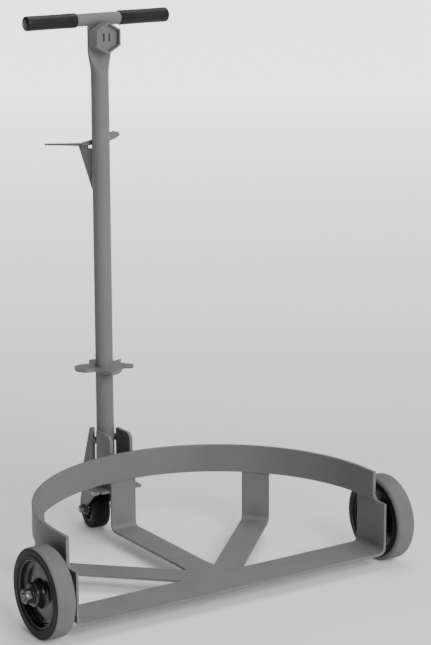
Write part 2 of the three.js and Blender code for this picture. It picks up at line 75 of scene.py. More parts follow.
# ---------------------------------------------------------------- dimensions, millimetres
GAP = 0.3  # between neighbouring solids, as in the CAD
PLATE = 6.35
HOOP_R = 305.0
HOOP_OUT = HOOP_R + PLATE
HOOP_BOTTOM = 120.0
WELD_FRONT = -33.5  # where the corner welds start: the hoop's end lies 0.5 mm further forward
BAR_T = 4.76
BASE_TOP = 30.8
BASE_BACK = 13.9
STRAP_R = 306.0  # inner face of the straps' uprights
STRAP_HALF = 25.4
STRAP_WELD_HALF = 24.0
# Where each strap crosses the hoop, in degrees around its centre.
STRAP_CROSSINGS = (("right", 43.7), ("center", 90), ("left", 137.3))
SIDES = (("right", 1), ("left", -1))

AXIS_AHEAD = 12.0  # the wheels' axis lies in front of the hoop's centre
WHEEL_R = 76.2
WHEEL_IN = 322.5
WHEEL_OUT = 358.3
BLACK_STEP_IN = 8.0  # from the tread down to the black sidewall, on the inboard side
BLACK_STEP_OUT = 3.2
HUB_R = 56.5
BOSS_START = WHEEL_IN - 4
BOSS_END = 365.0
AXLE_R = 6.35
AXLE_BORE = AXLE_R + GAP
AXLE_END = 381.0

CASTER_R = 38.1
CASTER_HALF = 15.9
CASTER_CORE_R = 24.0
CASTER_BOSS = 19.8
CASTER_TURN = -8.0  # degrees that it stands turned about its kingpin

POST_R = 15.875
POST_WALL = 2.6
FLAT_HALF = 23.5
FLAT_T = 6.4
FLAT_START = 848.0
FLAT_END = 892.0
DIMPLE_Z = 868.0
DIMPLE_DEPTH = 2.6
TBAR_R = 11.1
TBAR_Z = 943.4
TBAR_SHIFT = -4.0
TBAR_HALF = 139.7
GRIP_R = 13.0
GRIP_END = 142.3
GRIP_INNER = 43.7
PIN_R = 6.35
PIN_HALF = 24.5
HEAD_AF = 48.0  # across the wrench head's flats
HEAD_Z = 913.0
BLADE_TURN = 30.0  # degrees from straight back towards the left
LUG_TOP = 320.0
LUG_T = 6.35

BEAD_SIDES = 10
BEAD_RIPPLE = 0.25
BEAD_PITCH = 3.2
BEAD_NUMBERS = itertools.count(1)  # gives each bead its own lumps
Z_TO_X = Matrix.Rotation(math.pi / 2, 4, "Y")
HALF_TURN = Matrix.Rotation(math.pi, 4, "Z")

# ---------------------------------------------------------------- studio, metres, watts and degrees
FLOOR_HALF = 16.0
FLOOR_GLOW = 0.12
BACK_GLOW = 2.2
WORLD_BRIGHT = (0.85, -0.3, 0.45)
WORLD_LOW = 0.0
WORLD_HIGH = 0.9
LIGHTS = (
    ("key", (-0.3, -4.4, 2.6), (0, 0, 0.45), 2.4, 190),
    ("top", (0.5, 0.2, 3.9), (0, 0, 0.3), 2.6, 62),
)
AZIMUTH = 33.27
DOWN = 13.68
ROLL = -0.19
LENS = 123.2
SENSOR = 36
CAMERA_PLACE = (-1946.41, -2964.65, 1337.58)  # millimetres from the hoop's centre

# The hoop's centre and the post's axis in the row frame, in millimetres.
CENTER_Y = middle("tyre_left").y / MM + AXIS_AHEAD
POST_Y = middle("cross_pin").y / MM


# ---------------------------------------------------------------- node materials
class Graph:
    """A short way to write a node tree."""

    def __init__(self, name):
        self.material = bpy.data.materials.new(name)
        self.material.use_nodes = True
        self.tree = self.material.node_tree
        self.tree.nodes.clear()
        self.out = self.node("ShaderNodeOutputMaterial")
        self.shader = self.node("ShaderNodeBsdfPrincipled")
        self.link(self.shader.outputs[0], self.out.inputs["Surface"])
        self.where = self.node("ShaderNodeTexCoord").outputs["Object"]

    def node(self, kind, **values):
        made = self.tree.nodes.new(kind)
        for key, value in values.items():
            setattr(made, key, value)
        return made

    def link(self, a, b):
        self.tree.links.new(a, b)

    def put(self, socket, value):
        if isinstance(value, bpy.types.NodeSocket):
            self.link(value, socket)
        else:
            socket.default_value = value

    def scaled(self, x, y, z):
        mapping = self.node("ShaderNodeMapping")
        self.link(self.where, mapping.inputs["Vector"])
        mapping.inputs["Scale"].default_value = (x, y, z)
        return mapping.outputs[0]

    def noise(self, scale, detail=3.0, rough=0.5, at=None, distortion=0.0):
        made = self.node("ShaderNodeTexNoise")
        self.link(at or self.where, made.inputs["Vector"])
        made.inputs["Scale"].default_value = scale
        made.inputs["Detail"].default_value = detail
        made.inputs["Roughness"].default_value = rough
        made.inputs["Distortion"].default_value = distortion
        return made.outputs["Fac"]

    def cells(self, scale):
        made = self.node("ShaderNodeTexVoronoi", feature="F1")
        self.link(self.where, made.inputs["Vector"])
        made.inputs["Scale"].default_value = scale
        return made.outputs["Distance"]

    def remap(self, value, a, b, to_a=0.0, to_b=1.0):
        made = self.node("ShaderNodeMapRange")
        self.put(made.inputs["Value"], value)
        for key, number in zip(("From Min", "From Max", "To Min", "To Max"), (a, b, to_a, to_b)):
            made.inputs[key].default_value = number
        return made.outputs["Result"]

    def math(self, operation, a, b=0.0):
        made = self.node("ShaderNodeMath", operation=operation)
        self.put(made.inputs[0], a)
        self.put(made.inputs[1], b)
        return made.outputs[0]

    def mix(self, fac, a, b):
        made = self.node("ShaderNodeMix", data_type="RGBA")
        self.put(made.inputs["Factor"], fac)
        for socket, value in ((made.inputs[6], a), (made.inputs[7], b)):
            self.put(socket, value if isinstance(value, bpy.types.NodeSocket) else grey(value))
        return made.outputs[2]

    def bump(self, height, distance, strength=1.0, normal=None):
        made = self.node("ShaderNodeBump")
        self.put(made.inputs["Height"], height)
        made.inputs["Distance"].default_value = distance
        made.inputs["Strength"].default_value = strength
        if normal is not None:
            self.link(normal, made.inputs["Normal"])
        return made.outputs[0]

    def height(self):
        split = self.node("ShaderNodeSeparateXYZ")
        self.link(self.where, split.inputs[0])
        return split.outputs["Z"]

    def set(self, **values):
        for key, value in values.items():
            self.put(self.shader.inputs[key.replace("_", " ")], value)


def grey(value):
    return (value, value, value, 1.0) if isinstance(value, float) else (*value, 1.0)


def painted_steel():
    """Grey enamel on hot-rolled steel: orange peel, slight mottling, dust low down, a few nicks."""
    g = Graph("frame_paint")
    broad = g.noise(9.0, 4.0, 0.55)
    fine = g.noise(240.0, 3.0, 0.6)
    base = g.mix(g.remap(broad, 0.3, 0.7), 0.148, 0.168)
    base = g.mix(g.remap(fine, 0.45, 0.8, 0.0, 0.35), base, 0.132)
    low = g.remap(g.height(), 0.0, 0.14, 0.55, 0.0)
    dusty = g.math("MULTIPLY", low, g.remap(g.noise(38.0, 5.0, 0.65), 0.42, 0.75))
    base = g.mix(dusty, base, (0.200, 0.195, 0.186))
    specks = g.cells(95.0)
    nick = g.math("MULTIPLY", g.remap(specks, 0.035, 0.06, 1.0, 0.0), g.remap(broad, 0.58, 0.66))
    base = g.mix(nick, base, 0.07)
    scratch = g.noise(26.0, 2.0, 0.4, g.scaled(60.0, 1.6, 12.0), 0.4)
    line = g.remap(scratch, 0.70, 0.74, 0.0, 0.22)
    base = g.mix(line, base, 0.21)
    rough = g.remap(g.noise(30.0, 4.0), 0.25, 0.75, 0.44, 0.58)
    rough = g.math("ADD", rough, g.math("MULTIPLY", dusty, 0.25))
    peel = g.noise(620.0, 2.0, 0.5)
    normal = g.bump(peel, 0.00005, 0.5)
    normal = g.bump(g.noise(70.0, 3.0), 0.00012, 0.35, normal)
    normal = g.bump(nick, -0.0002, 0.6, normal)
    g.set(Base_Color=base, Roughness=rough, Normal=normal)
    g.set(Specular_IOR_Level=0.3)
    return g.material


def weld_metal():
    """Paint over a weld bead: the same grey and lumpier, with painted shade darkening the hollows
    between its lumps.
    """
    g = Graph("weld_paint")
    lumps = g.noise(420.0, 3.0, 0.6)
    # painted shade: the grey drops to its darkest where the lumps sink, so the hollows look shaded
    base = g.mix(g.remap(lumps, 0.35, 0.7), 0.115, 0.172)
    normal = g.bump(lumps, 0.0005, 0.7)
    g.set(Base_Color=base, Roughness=g.remap(lumps, 0.3, 0.7, 0.42, 0.6), Normal=normal)
    return g.material


def zinc_plate(name, tone, rough_low):
    """Plated or bare steel, from bright to dark by its tone: cloudy, with drawn marks and dull spots."""
    g = Graph(name)
    cloud = g.noise(55.0, 5.0, 0.65)
    base = g.mix(g.remap(cloud, 0.3, 0.72), (tone * 0.82, tone * 0.84, tone * 0.86),
                 (tone * 1.08, tone * 1.08, tone * 1.05))
    spots = g.remap(g.cells(260.0), 0.1, 0.22, 0.5, 0.0)
    base = g.mix(spots, base, (tone * 0.55, tone * 0.55, tone * 0.56))
    brushed = g.noise(900.0, 2.0, 0.5, g.scaled(1.0, 0.12, 1.0))
    rough = g.remap(cloud, 0.25, 0.75, rough_low, rough_low + 0.2)
    rough = g.math("ADD", rough, g.math("MULTIPLY", spots, 0.3))
    normal = g.bump(brushed, 0.00004, 0.5)
    normal = g.bump(cloud, 0.00025, 0.3, normal)
    g.set(Base_Color=base, Roughness=rough, Normal=normal, Metallic=0.92)
    return g.material


def grey_rubber():
    """Non-marking grey tread: chalky, with rolling scuffs around it and caught grit."""
    g = Graph("grey_rubber")
    broad = g.noise(30.0, 4.0, 0.6)
    base = g.mix(g.remap(broad, 0.3, 0.7), 0.122, 0.15)
    bands = g.noise(120.0, 3.0, 0.6, g.scaled(8.0, 0.6, 0.6))
    base = g.mix(g.remap(bands, 0.52, 0.75, 0.0, 0.45), base, 0.100)
    grit = g.remap(g.cells(520.0), 0.12, 0.2, 0.6, 0.0)
    base = g.mix(g.math("MULTIPLY", grit, g.remap(broad, 0.5, 0.65)), base, 0.055)
    normal = g.bump(g.noise(900.0, 3.0, 0.7), 0.00012, 0.6)
    normal = g.bump(bands, 0.00025, 0.4, normal)
    g.set(Base_Color=base, Roughness=g.remap(broad, 0.3, 0.7, 0.62, 0.8), Normal=normal)
    g.set(Specular_IOR_Level=0.3)
    return g.material


def black_rubber(name, dark, light, rough, shine, grain=700.0, depth=0.0001):
    """Black moulded rubber with a fine skin, faint bloom and paler flecks on the raised points of its
    skin.
    """
    g = Graph(name)
    bloom = g.noise(22.0, 4.0, 0.6)
    base = g.mix(g.remap(bloom, 0.35, 0.75), dark, light)
    skin = g.noise(grain, 3.0, 0.65)
    # paler flecks where the skin stands highest
    base = g.mix(g.remap(skin, 0.6, 0.85, 0.0, 0.3), base, light * 1.6)
    normal = g.bump(skin, depth, 0.5)
    normal = g.bump(g.noise(60.0, 2.0), 0.0002, 0.3, normal)
    g.set(Base_Color=base, Roughness=g.remap(bloom, 0.3, 0.7, rough - 0.07, rough + 0.08))
    g.set(Normal=normal, Specular_IOR_Level=shine)
    return g.material


def black_enamel():
    """Glossy black dipped wheel centre: runs, soft waviness and road dust near its rim."""
    g = Graph("black_hub")
    runs = g.noise(45.0, 3.0, 0.55, g.scaled(1.0, 1.0, 0.5), 0.6)
    base = g.mix(g.remap(runs, 0.35, 0.7), 0.012, 0.022)
    dust = g.remap(g.noise(210.0, 5.0, 0.7), 0.52, 0.8, 0.0, 0.4)
    base = g.mix(dust, base, 0.06)
    rough = g.math("ADD", g.remap(runs, 0.3, 0.7, 0.16, 0.27), g.math("MULTIPLY", dust, 0.5))
    normal = g.bump(runs, 0.0009, 0.5)
    normal = g.bump(g.noise(320.0, 2.0), 0.00008, 0.4, normal)
    g.set(Base_Color=base, Roughness=rough, Normal=normal, Specular_IOR_Level=0.6)
    return g.material


def bronze():
    """Oiled sintered bronze of the wheel bushings."""
    g = Graph("bronze")
    pores = g.noise(800.0, 3.0, 0.7)
    base = g.mix(g.remap(pores, 0.35, 0.7), (0.30, 0.19, 0.09), (0.42, 0.29, 0.15))
    g.set(Base_Color=base, Metallic=0.9, Roughness=g.remap(pores, 0.3, 0.7, 0.3, 0.5))
    g.set(Normal=g.bump(pores, 0.00006, 0.6))
    return g.material


PAINT = painted_steel()
WELD = weld_metal()
ZINC = zinc_plate("zinc_steel", 0.34, 0.26)
DULL_ZINC = zinc_plate("dull_zinc", 0.15, 0.36)
DARK_STEEL = zinc_plate("dark_steel", 0.10, 0.34)
TREAD = grey_rubber()
SIDEWALL = black_rubber("sidewall_rubber", 0.006, 0.011, 0.5, 0.25)
CASTER_RUBBER = black_rubber("black_rubber", 0.006, 0.012, 0.55, 0.2)
GRIP_RUBBER = black_rubber("grip_rubber", 0.006, 0.011, 0.38, 0.3, 1100.0, 0.00014)
HUB = black_enamel()
BRONZE = bronze()


# ---------------------------------------------------------------- mesh helpers
def add(name, bm, material, body, smooth, weighted=False, replaces=(), move=None):
    """Turns a bmesh in millimetres into a piece in metres that rides on a body."""
    bmesh.ops.recalc_face_normals(bm, faces=bm.faces)
    mesh = bpy.data.meshes.new(name)
    bm.to_mesh(mesh)
    bm.free()
    if move is not None:
        mesh.transform(move)
    mesh.transform(Matrix.Scale(MM, 4))
    mesh.materials.append(material)
    mesh.shade_smooth()
    mesh.set_sharp_from_angle(angle=math.radians(smooth))
    obj = bpy.data.objects.new(name, mesh)
    bpy.context.scene.collection.objects.link(obj)
    if weighted:
        obj.modifiers.new("normals", "WEIGHTED_NORMAL").keep_sharp = True
    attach(obj, body)
    if replaces:
        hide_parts(*replaces)
    return obj


def mixed(a, b, t):
    return a + (b - a) * t


def smoothstep(x, a, b):
    t = min(1.0, max(0.0, (x - a) / (b - a)))
    return t * t * (3 - 2 * t)


def circle(radius, count):
    """Points around a circle, as (x, y)."""
    turns = [2 * math.pi * k / count for k in range(count)]
    return [(radius * math.cos(a), radius * math.sin(a)) for a in turns]


def hexagon(flat, count):
    """Points around a hexagon whose flats lie at that distance from its middle."""
    made = []
    for k in range(count):
        a = 2 * math.pi * k / count
        r = flat / math.cos((a + math.pi / 6) % (math.pi / 3) - math.pi / 6)
        made.append((r * math.cos(a), r * math.sin(a)))
    return made


def bridge(bm, low, high):
    """Four-sided faces between two rings with the same number of points."""
    count = len(low)
    for k in range(count):
        n = (k + 1) % count
        bm.faces.new((low[k], low[n], high[n], high[k]))


def mirrored(profile):
    """A turned profile and its mirror image along the axis."""
    return profile + [(r, -h) for r, h in reversed(profile)]


def fillet(points, radius, steps):
    """Rounds the corners of a closed outline."""
    made = []
    count = len(points)
    for i, p in enumerate(points):
        here = Vector(p)
        back = Vector(points[i - 1]) - here
        ahead = Vector(points[(i + 1) % count]) - here
        reach = min(radius, back.length * 0.48, ahead.length * 0.48)
        a = here + back.normalized() * reach
        b = here + ahead.normalized() * reach
        for k in range(steps + 1):
            t = k / steps
            q = a * (1 - t) ** 2 + here * 2 * t * (1 - t) + b * t ** 2
            made.append((q.x, q.y))
    return made


def lathe(profile, segments, closed=False):
    """A body turned about the x axis. Profile points are (radius, distance along x)."""
    bm = bmesh.new()
    rings = []
    for r, h in profile:
        outline = circle(r, segments) if r > 1e-6 else [(0, 0)]
        rings.append([bm.verts.new((x, y, h)) for x, y in outline])
    pairs = list(zip(rings, rings[1:]))
    if closed:
        pairs.append((rings[-1], rings[0]))
    for low, high in pairs:
        for k in range(segments):
            n = (k + 1) % segments
            face = [low[k % len(low)], low[n % len(low)], high[n % len(high)], high[k % len(high)]]
            unique = list(dict.fromkeys(face))
            if len(unique) > 2:
                bm.faces.new(unique)
    bm.transform(Z_TO_X)
    return bm


def threads(radius, start, end, pitch, depth):
    """Profile points of a threaded stretch, from start to end."""
    points = []
    h = start
    while h + pitch <= end:
        points += [(radius, h), (radius - depth, h + pitch / 2)]
        h += pitch
    points.append((radius, h))
    return points


def nut(across, low, high, bore):
    """A hexagon nut along x, turned down at its two round faces, with a countersunk bore."""
    count = 48
    flat = across / 2
    drop = (across / math.sqrt(3) - flat) * 0.6
    sink = 0.7
    round_face = circle(flat * 0.97, count)
    hexed = hexagon(flat, count)
    outlines = [(round_face, low), (hexed, low + drop), (hexed, high - drop), (round_face, high)]
    for r, h in ((bore + sink, high), (bore, high - sink), (bore, low + sink), (bore + sink, low)):
        outlines.append((circle(r, count), h))
    bm = bmesh.new()
    rings = [[bm.verts.new((x, y, h)) for x, y in outline] for outline, h in outlines]
    for low_ring, high_ring in zip(rings, rings[1:] + rings[:1]):
        bridge(bm, low_ring, high_ring)
    bm.transform(Z_TO_X)
    return bm


def refine(node, material, bevel, segments=2):
    """A finer copy of a CAD solid: flat faces merged and every hard edge rounded."""
    bm = bmesh.new()
    bm.from_mesh(NODES[node].data)
    bm.transform(Matrix.Scale(1 / MM, 4))
    bmesh.ops.remove_doubles(bm, verts=bm.verts, dist=0.005)
    bmesh.ops.dissolve_limit(bm, angle_limit=math.radians(0.8), verts=bm.verts, edges=bm.edges)
    hard = [e for e in bm.edges if len(e.link_faces) == 2
            and e.calc_face_angle(0.0) > math.radians(24)]
    bmesh.ops.bevel(bm, geom=hard, offset=bevel, segments=segments, profile=0.6,
                    affect="EDGES", clamp_overlap=True)
    return add("v_" + node, bm, material, NODES[node]["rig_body"], 40.0, True, [node])


def tube(points, radius, seed):
    """A round weld bead through points, rippled and slightly uneven, with closed ends."""
    dense = []
    for a, b in zip(points, points[1:]):
        a, b = Vector(a), Vector(b)
        n = max(1, int((b - a).length / 0.8))
        dense += [a.lerp(b, k / n) for k in range(n)]
    dense.append(Vector(points[-1]))
    bm = bmesh.new()
    rings = []
    run = 0.0
    for i, p in enumerate(dense):
        ahead = dense[min(i + 1, len(dense) - 1)] - dense[max(i - 1, 0)]
        run += (p - dense[i - 1]).length if i else 0.0
        side = ahead.cross(Vector((0.31, 0.17, 0.93))).normalized()
        up = side.cross(ahead).normalized()
        wave = abs(math.sin(math.pi * run / BEAD_PITCH)) * BEAD_RIPPLE
        lump = noise.noise(Vector((run * 0.11, seed, 3.7))) * BEAD_RIPPLE * 1.5
        end = min(i, len(dense) - 1 - i)
        r = radius * (1.0 - BEAD_RIPPLE + wave + lump) * min(1.0, 0.35 + 0.3 * end)
        rings.append([bm.verts.new(p + side * u + up * v) for u, v in circle(r, BEAD_SIDES)])
    for a, b in zip(rings, rings[1:]):
        bridge(bm, a, b)
    bm.faces.new(rings[0])
    bm.faces.new(rings[-1])
    return bm


def bead(name, points, radius, body="frame"):
    bm = tube(points, radius, next(BEAD_NUMBERS) * 1.7)
    return add("weld_" + name, bm, WELD, body, 60.0)


def arc(middle_y, r, start, end, z, steps):
    """Points on a level arc around x = 0, between two angles in degrees."""
    made = []
    for k in range(steps + 1):
        a = math.radians(mixed(start, end, k / steps))
        made.append((r * math.cos(a), middle_y + r * math.sin(a), z))
    return made


def in_ring(x, y, z):
    """A point given from the hoop's centre."""
    return (x, CENTER_Y + y, z)


# ---------------------------------------------------------------- painted frame
def frame_plates():
    for node in ("hoop_band", "base_bar", "strap_right", "strap_center", "strap_left"):
        refine(node, PAINT, 0.9)
    for node in ("ear_left", "ear_right", "caster_mount_plate"):
        refine(node, PAINT, 0.8)


def frame_welds():
    """Beads under the hoop, where it stands on the base bar's uprights and on the straps."""
    for side, sign in SIDES:
        for where, x, size in (("in", HOOP_OUT - BAR_T, 0.9), ("out", HOOP_OUT, 1.0)):
            line = [in_ring(sign * x, WELD_FRONT + 0.5, HOOP_BOTTOM),
                    in_ring(sign * x, BASE_BACK - 1.4, HOOP_BOTTOM)]
            bead(f"leg_{side}_{where}", line, size)
        corner_fillet(side, sign)
    half = math.degrees(STRAP_WELD_HALF / HOOP_OUT)
    for name, angle in STRAP_CROSSINGS:
        for where, r, drop, size in (("out", HOOP_OUT + 0.1, 0.2, 1.3), ("in", STRAP_R - 0.3, 0.6, 0.7)):
            line = arc(CENTER_Y, r, angle - half, angle + half, HOOP_BOTTOM - drop, 12)
            bead(f"strap_{name}_{where}", line, size)


def corner_fillet(side, sign):
    """The concave weld that fills the step between the hoop's end and the upright's top."""
    bm = bmesh.new()
    reach, rise, sunk = 11.0, 12.0, 0.8
    low = HOOP_BOTTOM - sunk
    outline = [(WELD_FRONT + 1, low), (WELD_FRONT - reach, low)]
    for k in range(9):
        a = math.radians(90 * k / 8)
        outline.append((WELD_FRONT - reach + reach * math.sin(a), low + sunk + rise * (1 - math.cos(a))))
    outline.append((WELD_FRONT + 1, low + sunk + rise))
    rings = []
    for x in (HOOP_OUT - BAR_T - 0.9, HOOP_OUT - 0.1):
        rings.append([bm.verts.new(in_ring(sign * x, y, z)) for y, z in outline])
    bridge(bm, *rings)
    for ring in rings:
        bm.faces.new(ring)
    bmesh.ops.bevel(bm, geom=[e for e in bm.edges if e.calc_face_angle(0) > 1.2], offset=0.6,
                    segments=2, affect="EDGES", clamp_overlap=True)
    add("weld_corner_" + side, bm, PAINT, "frame", 40.0, True)


def ground_seam(name, a, b, width, seed):
    """A weld ground flush with the flat: a thin skin with a wandering edge."""
    a, b = Vector(a), Vector(b)
    along = (b - a).normalized()
    side = Vector((-along.y, along.x, 0))
    bm = bmesh.new()
    steps = max(8, int((b - a).length / 2.0))
    rows = []
    for k in range(steps + 1):
        p = a.lerp(b, k / steps)
        w = width * (0.75 + 0.5 * noise.noise(Vector((k * 0.35, seed, 0.0))))
        section = ((-w, -0.25), (-w * 0.6, 0.10), (0, 0.16), (w * 0.6, 0.10), (w, -0.25),
                   (w, -1.0), (-w, -1.0))
        rows.append([bm.verts.new(p + side * u + Vector((0, 0, lift))) for u, lift in section])
    for a, b in zip(rows, rows[1:]):
        bridge(bm, a, b)
    bm.faces.new(rows[0])
    bm.faces.new(rows[-1])
    add("seam_" + name, bm, PAINT, "frame", 50.0)


def base_seams():
    """Ground welds where the straps meet the base bar's back edge and each other."""
    edge = BASE_BACK + 0.15
    slant = STRAP_HALF * math.sqrt(2)
    end = edge + slant + 12
    fork = STRAP_HALF + 0.15
    far = STRAP_HALF + slant + 2
    seams = (
        ("bar_left", (-end, edge), (-STRAP_HALF, edge), 2.0),
        ("bar_middle", (-STRAP_HALF, edge), (STRAP_HALF, edge), 2.0),
        ("bar_right", (STRAP_HALF, edge), (end, edge), 2.0),
        ("fork_left", (-fork, edge), (-fork, far), 1.8),
        ("fork_right", (fork, edge), (fork, far), 1.8),
    )
    for number, (name, start, stop, width) in enumerate(seams, 1):
        ground_seam(name, in_ring(*start, BASE_TOP), in_ring(*stop, BASE_TOP), width, number)


def socket_welds():
    """Beads between the mount plate, the ears on it and the hoop in front of them."""
    plate_low, plate_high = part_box("caster_mount_plate")
    front = plate_low.y / MM
    top = plate_high.z / MM
    for side, sign in reversed(SIDES):
        low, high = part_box("ear_" + side)
        inner = sign * min(abs(low.x), abs(high.x)) / MM
        outer = sign * max(abs(low.x), abs(high.x)) / MM
        for where, x in (("in", inner), ("out", outer)):
            bead(f"ear_{side}_{where}", [(x, front + 5, top), (x, high.y / MM - 4, top)], 2.0)
        line = [(outer, front + 0.8, top + 17), (outer, front + 0.8, top + 60)]
        bead(f"ear_{side}_hoop", line, 1.8)
    bead("mount_front", [(-24, front + 0.2, top - 1), (24, front + 0.2, top - 1)], 1.6)


# ---------------------------------------------------------------- main wheels
def main_tyre(side, turn):
    """A grey tread between black sidewalls, with a rounder shoulder on the inboard side."""
    middle_x = (WHEEL_IN + WHEEL_OUT) / 2
    bead_r = HUB_R + 0.3
    flank = [(bead_r, 2), (bead_r + 2, 1.2), (bead_r + 3, 0.2), (bead_r + 5.2, 0.2),
             (bead_r + 6, 0.9), (WHEEL_R - 7.5, 0.3)]
    inboard = flank + [(WHEEL_R - 5.2, 0.4), (WHEEL_R - 3.4, 1.1), (WHEEL_R - 1.6, 2.6)]
    outboard = flank + [(WHEEL_R - 4.5, 0.5), (WHEEL_R - 2.2, 1.3), (WHEEL_R - 0.9, 2.6)]
    crown = [(WHEEL_R - 0.25, WHEEL_IN + 4.2), (WHEEL_R, WHEEL_IN + 9), (WHEEL_R, middle_x - 0.7),
             (WHEEL_R + 0.25, middle_x), (WHEEL_R, middle_x + 0.7), (WHEEL_R, WHEEL_OUT - 9),
             (WHEEL_R - 0.25, WHEEL_OUT - 4.2)]
    profile = [(r, WHEEL_IN + depth) for r, depth in inboard] + crown
    profile += [(r, WHEEL_OUT - depth) for r, depth in reversed(outboard)]
    tyre = add("v_tyre_" + side, lathe(profile, 144, True), TREAD, "wheel_" + side, 50.0,
               replaces=["tyre_" + side], move=turn)
    tyre.data.materials.append(SIDEWALL)
    axis_y = middle("tyre_" + side).y
    for face in tyre.data.polygons:
        c = face.center
        r = math.hypot(c.y - axis_y, c.z - WHEEL_R * MM) / MM
        black_step = BLACK_STEP_IN if abs(c.x) < middle_x * MM else BLACK_STEP_OUT
        if r < WHEEL_R - black_step:
            face.material_index = 1


def main_hub(side, turn):
    """The black centre: a rim, a recessed web with a groove, and a boss. It has a bronze bushing."""
    wall = HUB_R - 2.5
    boss = 20.0
    bush_r = AXLE_R + 3
    hub = [(bush_r + 0.3, BOSS_END), (13.5, BOSS_END), (boss - 3.2, BOSS_END - 0.2),
           (boss, BOSS_END - 2.6), (boss + 0.6, WHEEL_OUT - 4), (boss + 2.4, WHEEL_OUT - 9.5),
           (boss + 6.5, WHEEL_OUT - 11.6), (34, WHEEL_OUT - 11.9), (wall - 9.5, WHEEL_OUT - 13.2),
           (wall - 5.5, WHEEL_OUT - 13.4), (wall - 3.6, WHEEL_OUT - 11.4),
           (wall - 2.2, WHEEL_OUT - 10.9), (wall - 0.8, WHEEL_OUT - 11.6),
           (wall, WHEEL_OUT - 9.6), (wall, WHEEL_OUT - 3.4), (wall + 0.7, WHEEL_OUT - 2.1),
           (HUB_R - 0.5, WHEEL_OUT - 1.9), (HUB_R, WHEEL_OUT - 2.4),
           (HUB_R, WHEEL_IN + 2.4), (HUB_R - 0.5, WHEEL_IN + 1.9), (wall + 0.7, WHEEL_IN + 2.1),
           (wall, WHEEL_IN + 3.4), (wall, WHEEL_IN + 9.6), (wall - 1.2, WHEEL_IN + 11.6),
           (wall - 6, WHEEL_IN + 12.2), (boss + 4, WHEEL_IN + 12), (boss + 0.8, WHEEL_IN + 9),
           (boss, WHEEL_IN - 2.6), (boss - 2.4, BOSS_START), (bush_r + 0.3, BOSS_START)]
    add("v_hub_" + side, lathe(fillet(hub, 1.6, 3), 120, True), HUB, "wheel_" + side, 60.0,
        replaces=["hub_" + side], move=turn)
    bush = [(AXLE_BORE, BOSS_START), (bush_r, BOSS_START), (bush_r, BOSS_END), (AXLE_BORE, BOSS_END)]
    add("v_bushing_" + side, lathe(fillet(bush, 0.5, 2), 64, True), BRONZE, "wheel_" + side, 50.0,
        replaces=["bushing_" + side], move=turn)


def main_axle(side, turn):
    """The axle stub with its collar, washer and nut. None of them turns with the wheel."""
    start = HOOP_OUT + GAP
    washer_end = BOSS_END + 2.5
    axle = [(0, start), (AXLE_R, start), (AXLE_R, BOSS_END - 6)]
    axle += threads(AXLE_R, BOSS_END - 5, AXLE_END - 1.6, 1.4, 0.45)
    axle += [(AXLE_R - 1.2, AXLE_END), (2.0, AXLE_END), (1.4, AXLE_END - 0.9), (0, AXLE_END - 1.2)]
    add("v_axle_" + side, lathe(axle, 48), DULL_ZINC, "frame", 50.0,
        replaces=["axle_" + side], move=turn)
    collar_end = BOSS_START - GAP
    collar = [(AXLE_BORE, start), (13, start), (13, collar_end), (AXLE_BORE, collar_end)]
    add("v_collar_" + side, lathe(fillet(collar, 0.8, 3), 64, True), ZINC, "frame", 50.0,
        replaces=["axle_collar_" + side], move=turn)
    washer = [(AXLE_BORE, BOSS_END + GAP), (15.5, BOSS_END + GAP), (15.5, washer_end),
              (AXLE_BORE, washer_end)]
    add("v_washer_" + side, lathe(fillet(washer, 0.6, 3), 64, True), DARK_STEEL, "frame", 50.0,
        replaces=["axle_washer_" + side], move=turn)
    add("v_nut_" + side, nut(22.2, washer_end + GAP, AXLE_END - 2.5, AXLE_BORE), DULL_ZINC,
        "frame", 28.0, replaces=["axle_nut_" + side], move=turn)


def main_wheels():
    for side, sign in SIDES:
        turn = Matrix.Translation((0, middle("tyre_" + side).y / MM, WHEEL_R))
        if sign < 0:
            turn = turn @ HALF_TURN
        main_tyre(side, turn)
        main_hub(side, turn)
        main_axle(side, turn)


# ---------------------------------------------------------------- caster
def caster_mount():
    refine("caster_plate", DULL_ZINC, 0.6)
    refine("caster_fork", DULL_ZINC, 0.8, segments=3)
    refine("caster_kingpin", ZINC, 0.6)
    refine("caster_ball_race", DULL_ZINC, 0.5)
    for index in range(1, 5):
        refine(f"caster_bolt_{index}", ZINC, 0.5)
        refine(f"caster_nut_{index}", ZINC, 0.6)
    refine("caster_axle_bolt", ZINC, 0.5)
    refine("caster_axle_nut", ZINC, 0.6)


def caster_wheel():
    """A black rubber tyre on a black centre, with a bushing that is wider than the wheel."""
    radius, half, core, boss = CASTER_R, CASTER_HALF, CASTER_CORE_R, CASTER_BOSS
    turn = Matrix.Translation((middle("caster_tread") / MM).to_tuple()) @ Matrix.Rotation(
        math.radians(CASTER_TURN), 4, "Z")
    tread = [(core + 0.3, -half), (core + 4, -half), (core + 5, -half + 0.7),
             (core + 7, -half + 0.8), (core + 8, -half + 0.1), (radius - 5, -half),
             (radius - 2.2, -half + 0.9), (radius - 0.7, -half + 3), (radius, -half + 6)]
    add("v_caster_tread", lathe(mirrored(tread), 112, True), CASTER_RUBBER, "caster_wheel", 55.0,
        replaces=["caster_tread"], move=turn)
    hub = [(8.3, -boss), (11.6, -boss), (13, -boss + 1.6), (13.6, -half + 4), (16, -half + 5.4),
           (core - 4, -half + 5.2), (core - 2.6, -half + 1), (core - 1.4, -half), (core, -half)]
    add("v_caster_core", lathe(fillet(mirrored(hub), 0.8, 3), 80, True), HUB, "caster_wheel", 60.0,
        replaces=["caster_core"], move=turn)
    bush = [(5.3, -boss), (8, -boss)]
    add("v_caster_bushing", lathe(fillet(mirrored(bush), 0.5, 2), 48, True), ZINC, "caster_wheel",
        50.0, replaces=["caster_bushing"], move=turn)


